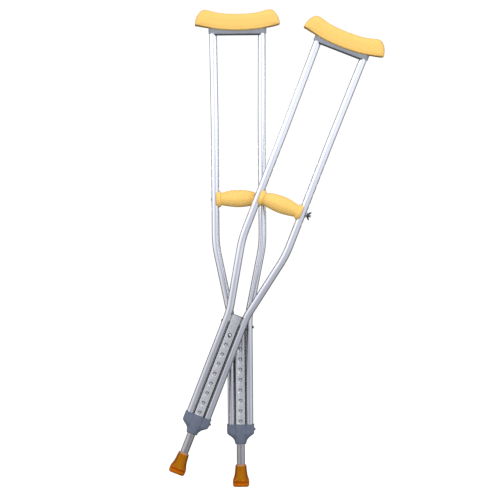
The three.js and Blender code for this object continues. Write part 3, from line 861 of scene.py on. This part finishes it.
def collar():
    heights = list(np.linspace(104.4, 151.4, 56)) + [151.8, 152.1, 152.35, 152.5]
    # how far each section is drawn in, to round the lower and upper edges
    trim = [0.9, 0.25] + [0] * 54 + [0.04, 0.18, 0.45, 0.95]
    wings, middles = interp_rows(COLLAR_WINGS, heights), interp_rows(COLLAR_MIDDLE, heights)
    seg, soft = 120, 0.9  # soft blends the middle into the wings
    verts = []
    for z, drawn_in, wing, middle in zip(heights, trim, wings, middles):
        for k in range(seg):
            t = 2 * math.pi * k / seg
            angle = math.atan2(wing[1] * math.sin(t), wing[0] * math.cos(t) * 0.85)
            wing_r, middle_r = superellipse(angle, *wing), superellipse(angle, *middle)
            gap = math.sqrt((wing_r - middle_r) ** 2 + soft**2)
            radius = 0.5 * (wing_r + middle_r + gap) - 0.5 * soft * 0.35
            radius -= drawn_in
            x = radius * math.cos(angle)
            # the outer ends of the wings stand up as ears
            ear = min(1, max(0, (abs(x) - 29.5) / 2.6))
            lift = 2.2 * ear * ear * (3 - 2 * ear) * max(0, (z - 146) / 6.5) ** 2
            verts.append((x, radius * math.sin(angle), z + lift))
    top = (len(heights) - 1) * seg
    faces = []
    for row in range(0, top, seg):
        for k in range(seg):
            after = (k + 1) % seg
            faces.append([row + k, row + after, row + seg + after, row + seg + k])
    faces.append(list(range(seg))[::-1])
    # the top follows the raised ears, so it is closed by flat strips from front to back
    for k in range(seg // 2):
        strip = [top + k, top + k + 1, top + (seg - k - 1) % seg, top + (seg - k) % seg]
        faces.append(list(dict.fromkeys(strip)))
    me = make_mesh(verts, faces)
    pockets = [rod(9.95, POCKET_Z, 160, 48, "z", (side * LOW_X, 0, 0)) for side in (1, -1)]
    me = boolean(me, joined(pockets))
    me = boolean(me, box(-13.3, 13.3, -12.75, 12.75, POCKET_Z, 160))
    me = boolean(me, box(-15.3, 15.3, -8.4, 8.4, POCKET_Z + 0.01, 160.1))
    return cleaned(boolean(me, rod(10.45, 90, 170, 56)))


def collar_screw():
    # radius, x, corner radius
    rows = [(0, 36.4, 0), (1.9, 36.4, 0.8), (3.2, 35.2, 0.8), (3.3, 32.8, 0.1),
            (1.6, 32.8, 0), (1.6, 29.2, 0.3), (0, 29.2, 0)]
    me = lathe(eased(rows), 28, "x", (0, 0, SCREW_Z))
    slot = box(35.8, 38, -0.45, 0.45, SCREW_Z - 3.5, SCREW_Z + 3.5)
    return cleaned(boolean(me, slot))


# ------------------------------------------------------------------ leg, button and foot
def leg_tube():
    corners = [(LEG_R, LEG_FOOT_Z), (LEG_R, LEG_TOP_Z), (LEG_BORE, LEG_TOP_Z),
               (LEG_BORE, LEG_FOOT_Z)]
    me = lathe(fillet(corners, 0.3, 3, True)[::-1], 56)
    return cleaned(boolean(me, rod(4.55, -20, -4, 36, "y", (0, 0, HOLE_TOP))))


def leg_guide():
    # radius, z, corner radius
    rows = [(0, 385.2, 0), (9.3, 385.2, 0.5), (10.1, 384.4, 0.5), (10.1, 382.9, 0.2),
            (8.2, 382.9, 0.2), (8.2, 374, 0.8), (0, 374, 0)]
    return lathe(eased(rows), 40)


# y, z: a bent strip, down its outside and round, then back along its inside
CLIP_OUTSIDE = [(-5.3, 371), (-6.1, 366), (-6.1, 355), (-5.6, 340), (-2.2, 318), (0, 315.5),
                (2.2, 318), (6.6, 340), (7.2, 355), (7.2, 371)]
CLIP_INSIDE = [(6.4, 371), (6.4, 355), (5.8, 340), (1.5, 318.6), (0, 316.8), (-1.5, 318.6),
               (-4.8, 340), (-5.3, 355), (-5.3, 365.8), (-4.5, 370.8)]


def spring_clip():
    return slab(spline(CLIP_OUTSIDE, 5) + spline(CLIP_INSIDE, 5), -3, 3, plane="yz")


def snap_button():
    radius, crown_y, dome_height = 4.2, 14.7, 2.4
    rows = [(0, crown_y)]
    for k in range(1, 9):
        t = math.pi / 2 * k / 8
        rows.append((radius * math.sin(t), crown_y - dome_height * (1 - math.cos(t))))
    rows += [(radius, 6.9), (3.9, 6.5), (0, 6.5)]
    return lathe([(r, -forward) for r, forward in rows], 36, "y", (0, 0, HOLE_TOP))


# radius, z
TIP_OUTSIDE = [
    (16.9, 0.35), (18.3, 1.2), (19.4, 2.9), (19.95, 5.4), (20.1, 9.0), (20.1, 13.0),
    (19.8, 16.9), (18.9, 20.3), (17.6, 23.8), (16.3, 28.2), (15.3, 33.5), (14.5, 40),
    (13.9, 46.5), (13.35, 51.6), (12.9, 53.9), (12.2, 54.8), (11.4, 55.0), (10.7, 54.7),
]
TIP_INSIDE = [(10.4, 54.2), (10.4, 9.6), (9.9, 9.0), (0, 9.0)]
TIP_BASE = [  # rings of tread
    (0, 0.9), (4.6, 0.9), (5.0, 0), (8.4, 0), (8.8, 0.9), (10.6, 0.9), (11.0, 0),
    (13.8, 0), (14.2, 0.9), (15.2, 0.9), (15.6, 0), (16.2, 0),
]


def crutch_tip():
    return lathe(TIP_BASE + spline(TIP_OUTSIDE, 5) + TIP_INSIDE, 72)


def tip_washer():
    return washer(3, 9.8, 9.3, 10.8, edge=0.25, seg=40)


# ------------------------------------------------------------------ frame bolt
def frame_bolt():
    # radius, x, corner radius
    rows = [(0, -32.7, 0), (1.8, -32.7, 1.2), (3.6, -31.8, 0.6), (3.7, -30.6, 0.1),
            (2.5, -30.6, 0), (2.5, 34.2, 0.5), (0, 34.2, 0)]
    return lathe(eased(rows, 5), 32, "x", (0, 0, BOLT_Z))


def frame_nut():
    """A hexagon with its corners turned off."""
    at = (0, 0, BOLT_Z)
    angles = [math.radians(60 * k) for k in range(6)]
    hexagon = [(4.0 * math.cos(t), BOLT_Z + 4.0 * math.sin(t)) for t in angles]
    me = slab(hexagon, 30.9, 33.6, plane="yz")
    barrel = [(0, 30.8), (3.6, 30.8), (4.15, 31.3), (4.15, 33.2), (3.6, 33.7), (0, 33.7)]
    me = boolean(me, lathe(barrel, 40, "x", at), "INTERSECT")
    return cleaned(boolean(me, rod(2.8, 30, 40, 28, "x", at)))


# ------------------------------------------------------------------ handgrip
GRIP_AT = (0, 0, GRIP_Z)
GRIP_END_X = 55.5
# radius, x: from the middle of the barrel out to the neck, then over the flange
GRIP_HALF = [
    (21.2, 0), (21.0, 7), (20.5, 14), (19.6, 21), (18.5, 28), (17.1, 34), (15.9, 38.6),
    (15.5, 40.9), (16.1, 42.6), (18.0, 43.9), (19.5, 45.2), (20.0, 47.0), (19.8, 49.6),
    (18.8, 53.2), (17.8, 55.0), (16.8, GRIP_END_X),
]
FLUTE_DEPTH, FLUTE_STEP = 0.42, 15.0  # mm, and degrees from one flute to the next
PALM_RISE = 1.1  # how much higher the barrel stands than the flanges


def handgrip():
    half = spline(GRIP_HALF, 5)
    mirrored = [(r, -x) for r, x in half[::-1]]
    me = lathe([(0, -GRIP_END_X), *mirrored, *half[1:], (0, GRIP_END_X)], 96, "x")
    # shallow flutes run along the underside, deepest in the middle of the barrel
    co = np.zeros(len(me.vertices) * 3)
    me.vertices.foreach_get("co", co)
    co = co.reshape(-1, 3)
    radius = np.hypot(co[:, 1], co[:, 2])
    along_x = np.abs(co[:, 0])
    below = np.degrees(np.arctan2(np.abs(co[:, 1]), -co[:, 2]))
    wave = 0.5 - 0.5 * np.cos(np.radians(below) * 360 / FLUTE_STEP)
    fade = np.clip((78 - below) / 12, 0, 1) * np.clip((38 - along_x) / 16, 0, 1)
    scale = 1 - FLUTE_DEPTH * wave * fade / np.maximum(radius, 1)
    co[:, 1] *= scale
    co[:, 2] *= scale
    co[:, 2] += GRIP_Z + PALM_RISE * np.clip((41 - along_x) / 14, 0, 1)
    me.vertices.foreach_set("co", co.ravel())
    me.update()
    # the flanges are hollowed where they meet the side tubes
    cuts = [rod(10.3, GRIP_Z - 40, GRIP_Z + 40, 56, "z", (s * MID_X, 0, 0)) for s in (-1, 1)]
    me = boolean(me, joined(cuts))
    return cleaned(boolean(me, rod(8.4, -60, 60, 40, "x", GRIP_AT)))


def grip_core():
    corners = [(8, -46.6), (8, 46.6), (3.6, 46.6), (3.6, -46.6)]
    return lathe(fillet(corners, 0.4, 3, True), 40, "x", GRIP_AT)


def grip_bolt():
    shank_r, thread_x, thread_pitch, turns = 3.0, 66.9, 1.0, 13
    # radius, x, corner radius
    head = [(0, -68.15, 0), (2.4, -68.15, 1.0), (3.9, -67.45, 0.2), (3.9, -66.95, 0.1),
            (shank_r, -66.95, 0)]
    thread = []
    for k in range(turns):
        x = thread_x + k * thread_pitch
        thread += [(shank_r, x), (2.62, x + thread_pitch / 2)]
    end = [(2.9, 79.2), (2.3, 79.8), (0, 79.8)]
    return lathe(eased(head) + [(shank_r, 60.0)] + thread + end, 36, "x", GRIP_AT)


def grip_washer():
    return washer(3.5, 7.5, 67.0, 68.4, edge=0.3, seg=44, axis="x", at=GRIP_AT)


# x, height above the bolt
WING = [(70.3, 2.6), (73.2, 2.6), (75.6, 4.6), (77.6, 7.0), (78.4, 8.9), (77.6, 10.3),
        (75.6, 10.3), (73.4, 8.9), (71.6, 6.8), (70.4, 4.6)]


def wing_nut():
    # radius, x, corner radius
    hub = [(0, 68.7, 0), (5.6, 68.7, 0.5), (5.3, 71.4, 0.6), (4.5, 75.5, 0.7), (0, 75.5, 0)]
    me = lathe(eased(hub), 40, "x", GRIP_AT)
    for side in (1, -1):
        outline = spline([(x, side * up) for x, up in WING], 4, True)
        wing = slab([(x, GRIP_Z + up) for x, up in outline], -1.15, 1.15, 0.35, 2)
        me = boolean(me, wing, "UNION")
    return cleaned(boolean(me, rod(3.3, 60, 90, 32, "x", GRIP_AT)))


# ------------------------------------------------------------------ pad and saddle
# right half of the saddle from the front: x, z, corner radius
SADDLE_RIGHT = [
    (50, 1104.2, 1.2), (53.5, 1105.6, 3), (56.5, 1108.8, 3), (60, 1110.2, 2),
    (66, 1109.6, 2), (69.2, 1108.2, 0.9), (70.8, 1108.6, 0.8), (71, 1130, 0.8),
]


def pad_saddle():
    rows = SADDLE_RIGHT + [(-x, z, radius) for x, z, radius in SADDLE_RIGHT[::-1]]
    me = slab(eased(rows, 3, True), -13.1, 13.1, 0.5, 3)
    plan = fillet([(-71, -13.2), (71, -13.2), (71, 13.2), (-71, 13.2)], 9.5, 10, True)
    me = boolean(me, slab(plan, 1100, 1135, plane="xy"), "INTERSECT")
    sockets = [rod(10.0, 1090, 1126.5, 56, "z", (s * (TOP_X - 0.1), 0, 0)) for s in (-1, 1)]
    me = boolean(me, joined(sockets))
    me = boolean(me, box(-46.5, 46.5, -9.8, 9.8, 1090, 1126))
    rivets = [rod(2.2, -20, 20, 24, "y", (s * TOP_X, 0, RIVET_Z)) for s in (-1, 1)]
    return cleaned(boolean(me, joined(rivets)))


def saddle_rivet(side):
    # radius, y, corner radius
    rows = [(0, -13.3, 0), (2.6, -13.3, 0.6), (3.6, -12.75, 0.1), (1.9, -12.6, 0),
            (1.9, 12.6, 0), (3.6, 12.75, 0.1), (2.6, 13.3, 0.6), (0, 13.3, 0)]
    return lathe(eased(rows), 28, "y", (side * TOP_X, 0, RIVET_Z))


# the pad's outline seen from the front: x from the middle, z
PAD_BOTTOM = [(0, PAD_LOW_Z), (30, 1116.6), (60, 1119.8), (85, 1124.3), (97, 1127.2)]
PAD_TOP = [(0, 1156.9), (16, 1157.2), (31, 1158.0), (48, 1160.2), (63, 1163.9),
           (72, 1166.6), (79.5, 1167.6)]
PAD_END_RIGHT = [
    (97, 1127.2), (101.6, 1128.9), (103.9, 1131.6), (103.9, 1135.5), (102.6, 1141.5),
    (100.4, 1148.2), (96.6, 1155.6), (91.4, 1162.0), (85.6, 1166.1), (79.5, 1167.6),
]
PAD_END_LEFT = [
    (97, 1126.4), (101.9, 1126.7), (104.0, 1128.9), (104.1, 1133.0), (103.0, 1139.8),
    (100.9, 1147.2), (96.9, 1155.2), (91.4, 1162.0), (85.6, 1166.1), (79.5, 1167.6),
]
PAD_DEPTH = 22.6  # from the middle to the front or back face
PAD_SPINE_X = 78.0  # the ends close on the spine at this x


def along(curve, x):
    """The height of a smoothed curve at x."""
    pts = np.array(spline(curve, 12))
    return np.interp(x, pts[:, 0], pts[:, 1])


def both_sides(right):
    return [(-x, z) for x, z in right[:0:-1]] + right


def pad_end(curve):
    """One end of the pad's outline, eased away from the common underside."""
    corner_x, corner_z = PAD_BOTTOM[-1]
    drop = corner_z - curve[0][1]
    lead = []
    for x in np.linspace(PAD_SPINE_X, corner_x, 9)[1:-1]:
        part = (x - PAD_SPINE_X) / (corner_x - PAD_SPINE_X)
        lead.append((x, along(PAD_BOTTOM, x) - drop * part))
    return [q for q in lead + spline(curve, 5) if q[0] > PAD_SPINE_X + 0.3]


def underarm_pad():
    xs = np.linspace(-PAD_SPINE_X, PAD_SPINE_X, 105)
    bottom = along(both_sides(PAD_BOTTOM), xs)
    top = along(both_sides(PAD_TOP), xs)
    # x, z, x on the spine: bottom to the right, right end, top to the left, left end
    ring = [(x, z, x) for x, z in zip(xs, bottom)]
    ring += [(x, z, PAD_SPINE_X) for x, z in pad_end(PAD_END_RIGHT)]
    ring += [(x, z, x) for x, z in zip(xs[::-1], top[::-1])]
    ring += [(-x, z, -PAD_SPINE_X) for x, z in pad_end(PAD_END_LEFT)[::-1]]
    ring_x, ring_z, spine_x = np.array(ring).T
    spine_z = np.interp(spine_x, xs, bottom * 0.5 + top * 0.5)
    count = len(ring)
    # how square the section is: rounder over the top, squarer below
    up = np.clip((ring_z - np.interp(ring_x, xs, bottom)) / 40.0, 0, 1)
    power = 5.2 - 2.3 * up
    steps = 26

    def layer(k, side):
        """The outline k steps in from the rim, towards the front (-1) or the back (1)."""
        angle = math.pi / 2 * (k / steps)
        inward = 1 - np.cos(angle) ** (2 / power) if k < steps else np.ones(count)
        depth = PAD_DEPTH * np.sin(angle) ** (2 / power) if k > 0 else np.zeros(count)
        x = ring_x + (spine_x - ring_x) * inward
        y = side * depth
        z = ring_z + (spine_z - ring_z) * inward
        # the faces are waisted, and drawn in just above a lip along the lower edge
        height = z - np.interp(x, xs, bottom)
        weight = np.clip((np.abs(y) - 8) / 10, 0, 1)
        tuck = 0.75 * np.exp(-(((height - 7.4) / 3.0) ** 2))
        lip = 0.4 * np.exp(-(((height - 2.6) / 1.8) ** 2))
        waist = -0.8 * np.clip(1 - (x / 70.0) ** 2, 0, 1) * np.clip((height - 8) / 10, 0, 1)
        return np.stack([x, y + np.sign(y) * weight * (-tuck + lip + waist), z], 1)

    verts, faces = [], []

    def add(rows):
        start = len(verts)
        verts.extend([tuple(q) for q in rows])
        return list(range(start, start + count))

    front = [add(layer(k, -1)) for k in range(steps + 1)]
    back = [front[0]] + [add(layer(k, 1)) for k in range(1, steps + 1)]
    for rows, flip in ((front, False), (back, True)):
        for outer, inner in zip(rows, rows[1:]):
            for k in range(count):
                after = (k + 1) % count
                face = [outer[k], outer[after], inner[after], inner[k]]
                faces.append(face[::-1] if flip else face)
    me = make_mesh(verts, faces)
    corners = [(-73.2, 1090), (73.2, 1090), (73.2, 1130.6), (-73.2, 1130.6)]
    pocket = slab(fillet(corners, 1.5, 4, True), -13.6, 13.6)
    return cleaned(boolean(me, pocket))


# ------------------------------------------------------------------ build and place
# piece: its builder, its material, the angle in degrees above which an edge is sharp
FORMS = {
    "underarm_pad": (underarm_pad, "pad", 40),
    "pad_saddle": (pad_saddle, "saddle", 32),
    "saddle_rivet_left": (lambda: saddle_rivet(-1), "steel", 40),
    "saddle_rivet_right": (lambda: saddle_rivet(1), "steel", 40),
    "bow_tube_left": (lambda: bow_tube(-1), "bow", 32),
    "bow_tube_right": (lambda: bow_tube(1), "bow", 32),
    "handgrip": (handgrip, "grip", 40),
    "grip_core": (grip_core, "nylon", 40),
    "grip_bolt": (grip_bolt, "steel", 32),
    "grip_washer": (grip_washer, "steel", 40),
    "wing_nut": (wing_nut, "dark", 38),
    "centre_profile": (centre_profile, "profile", 28),
    "frame_bolt": (frame_bolt, "dark", 40),
    "frame_nut": (frame_nut, "dark", 28),
    "collar": (collar, "collar", 38),
    "collar_screw": (collar_screw, "collar", 35),
    "leg_tube": (leg_tube, "leg", 35),
    "leg_guide": (leg_guide, "nylon", 35),
    "spring_clip": (spring_clip, "steel", 40),
    "snap_button": (snap_button, "button", 45),
    "crutch_tip": (crutch_tip, "amber", 50),
    "tip_washer": (tip_washer, "steel", 40),
}

for form, (build, look, angle) in FORMS.items():
    base = build()
    base.materials.clear()
    base.materials.append(MATERIALS[look])
    co = np.zeros(len(base.vertices) * 3, np.float32)
    base.vertices.foreach_get("co", co)
    local_mm = base.attributes.new("local_mm", "FLOAT_VECTOR", "POINT")
    local_mm.data.foreach_set("vector", co)
    base.polygons.foreach_set("use_smooth", np.ones(len(base.polygons), bool))
    base.set_sharp_from_angle(angle=math.radians(angle))
    for letter in "ab":
        node = f"{form}_{letter}"
        me = base.copy()
        me.name = "fine_" + node
        me.transform(PLACE[letter] @ Matrix.Scale(0.001, 4))
        me.update()
        o = bpy.data.objects.new("fine_" + node, me)
        bpy.context.scene.collection.objects.link(o)
        if form == "spring_clip":
            # the spring clip is baked in place and left without a body
            start, end = (PLACE[letter] @ Vector((0, y, 0.35)) for y in (0.001, -0.005))
            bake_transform(o)
            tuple(start)
            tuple(end)
        else:
            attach(o, body_of[node])
        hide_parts(node)

# ------------------------------------------------------------------ floor, metres from here on
FLOOR_RADIUS = 80
FLOOR_Z = -0.22  # clear of a leg let out to its last hole

scene = bpy.context.scene
scene.view_settings.view_transform = "Standard"
scene.view_settings.look = "None"

bm = bmesh.new()
bmesh.ops.create_circle(bm, cap_ends=True, radius=FLOOR_RADIUS, segments=96)
floor_mesh = bpy.data.meshes.new("studio_floor")
bm.to_mesh(floor_mesh)
bm.free()
floor = bpy.data.objects.new("studio_floor", floor_mesh)
scene.collection.objects.link(floor)
floor.location.z = FLOOR_Z
floor.visible_diffuse = False
floor.visible_glossy = False


def floor_material():
    """Pale, and partly glowing so that shadows on it stay light."""
    material = bpy.data.materials.new("pale_floor")
    graph = Graph(material)
    output = graph.node("OutputMaterial")
    total = graph.node("AddShader")
    diffuse = graph.node("BsdfDiffuse")
    graph.put_all(diffuse, {"Color": (0.34, 0.34, 0.34, 1)})
    glow = graph.node("Emission")
    graph.put_all(glow, {"Color": (1, 1, 1, 1), "Strength": 0.80})
    graph.put_all(total, {0: diffuse.outputs[0], 1: glow.outputs[0]})
    graph.put_all(output, {"Surface": total.outputs[0]})
    return material


floor_mesh.materials.append(floor_material())

# ------------------------------------------------------------------ world
BACK, STREAK = (0.17, 0.18, 0.20), (0.50, 0.53, 0.64)
# degrees round from the front, positive to the right; colour
AROUND = [
    (-180, BACK), (-116, BACK), (-100, (0.56, 0.58, 0.61)), (-86, (0.94, 0.94, 0.95)),
    (-62, (0.94, 0.94, 0.96)), (-38, (0.78, 0.81, 0.88)), (-12, STREAK), (12, STREAK),
    (34, (0.74, 0.78, 0.87)), (56, (0.82, 0.84, 0.90)), (80, (0.80, 0.82, 0.87)),
    (100, (0.46, 0.48, 0.52)), (124, BACK), (180, BACK),
]
# z of the direction, brightness: a factor on AROUND, and the light for diffuse rays
UPWARD = [(-1, 0.44), (-0.5, 0.52), (-0.3, 0.66), (-0.14, 0.90), (0.03, 1.0), (0.2, 1.06),
          (0.42, 1.16), (1, 1.3)]
DIFFUSE = [(-1, 0.13), (-0.4, 0.20), (0, 0.46), (0.4, 0.56), (1, 0.48)]


def ramp(graph, value, stops, reach):
    """Eased colours for stops that run from -reach to reach."""
    node = graph.node("ValToRGB")
    node.color_ramp.interpolation = "EASE"
    elements = node.color_ramp.elements
    while len(elements) > 1:
        elements.remove(elements[-1])
    for i, (place, colour) in enumerate(stops):
        position = (place + reach) / (2 * reach)
        element = elements[0] if i == 0 else elements.new(position)
        element.position = position
        element.color = (*colour, 1) if isinstance(colour, tuple) else (*[colour] * 3, 1)
    graph.put(node.inputs["Fac"], value)
    return node.outputs["Color"]


def background(graph, colour, strength):
    node = graph.node("Background")
    graph.put_all(node, {"Color": colour, "Strength": strength})
    return node.outputs[0]


def build_world():
    """A soft studio for reflections, plain light for diffuse rays, white for the camera."""
    world = bpy.data.worlds.new("studio")
    scene.world = world
    graph = Graph(world)
    output = graph.node("OutputWorld")
    direction = graph.node("SeparateXYZ")
    graph.put(direction.inputs[0], graph.node("TexCoord").outputs["Generated"])
    x, y, z = direction.outputs
    turn = graph.math("ARCTAN2", x, graph.math("MULTIPLY", y, -1.0))
    azimuth = graph.math("ADD", graph.math("DIVIDE", turn, 2 * math.pi), 0.5)
    height = graph.math("ADD", graph.math("MULTIPLY", z, 0.5), 0.5)
    around = ramp(graph, azimuth, AROUND, reach=180)
    upward = ramp(graph, height, UPWARD, reach=1)
    diffuse = ramp(graph, height, DIFFUSE, reach=1)
    studio = graph.mix(1.0, around, upward, blend="MULTIPLY")
    rays = graph.node("LightPath").outputs
    light = graph.mix(rays["Is Diffuse Ray"], studio, diffuse)
    lit = background(graph, light, strength=1.70)
    white = background(graph, (1, 1, 1, 1), strength=1.05)
    pick = graph.node("MixShader")
    graph.put_all(pick, {0: rays["Is Camera Ray"], 1: lit, 2: white})
    graph.put(output.inputs["Surface"], pick.outputs[0])


build_world()


# ------------------------------------------------------------------ lights
def soft_light(name, pos, target, size, power, seen=False):
    """A rectangular light in watts; seen lets it show in reflections."""
    data = bpy.data.lights.new(name, "AREA")
    data.shape, data.size, data.size_y = "RECTANGLE", size[0], size[1]
    data.energy = power
    o = bpy.data.objects.new(name, data)
    scene.collection.objects.link(o)
    o.location = pos
    aim = Vector(target) - Vector(pos)
    o.rotation_euler = aim.to_track_quat("-Z", "Y").to_euler()
    o.visible_glossy = seen
    o.visible_camera = False


soft_light("front_fill", pos=(-0.3, -3.6, 1.15), target=(0.05, 0, 0.62), size=(2.6, 2.0),
           power=60)
soft_light("back_fill", pos=(0.4, 3.6, 1.3), target=(0.05, 0, 0.62), size=(2.6, 2.0),
           power=38)
soft_light("top", pos=(0.2, -0.3, 3.4), target=(0.05, 0, 0.5), size=(2.4, 2.4), power=3)
soft_light("small_window", pos=(1.3, -2.4, 1.6), target=(0.0, 0, 0.3), size=(0.3, 0.42),
           power=7, seen=True)

# ------------------------------------------------------------------ camera
# it stands in front and looks level along +y, rolled a little
CAMERA_X, CAMERA_Z = 0.0264, 0.579
CAMERA_DISTANCE = 24.0
VIEW_WIDTH = 1.2227  # what the picture spans at the crutches
CAMERA_ROLL = math.radians(0.466)

cam_data = bpy.data.cameras.new("camera")
cam = bpy.data.objects.new("camera", cam_data)
scene.collection.objects.link(cam)
cam_data.sensor_width = 36.0
cam_data.lens = 36.0 * CAMERA_DISTANCE / VIEW_WIDTH
cam_data.clip_end = 300
roll_cos, roll_sin = math.cos(CAMERA_ROLL), math.sin(CAMERA_ROLL)
cam.matrix_world = Matrix(
    (
        (roll_cos, roll_sin, 0, CAMERA_X),
        (0, 0, -1, -CAMERA_DISTANCE),
        (-roll_sin, roll_cos, 0, CAMERA_Z),
        (0, 0, 0, 1),
    )
)
scene.camera = cam
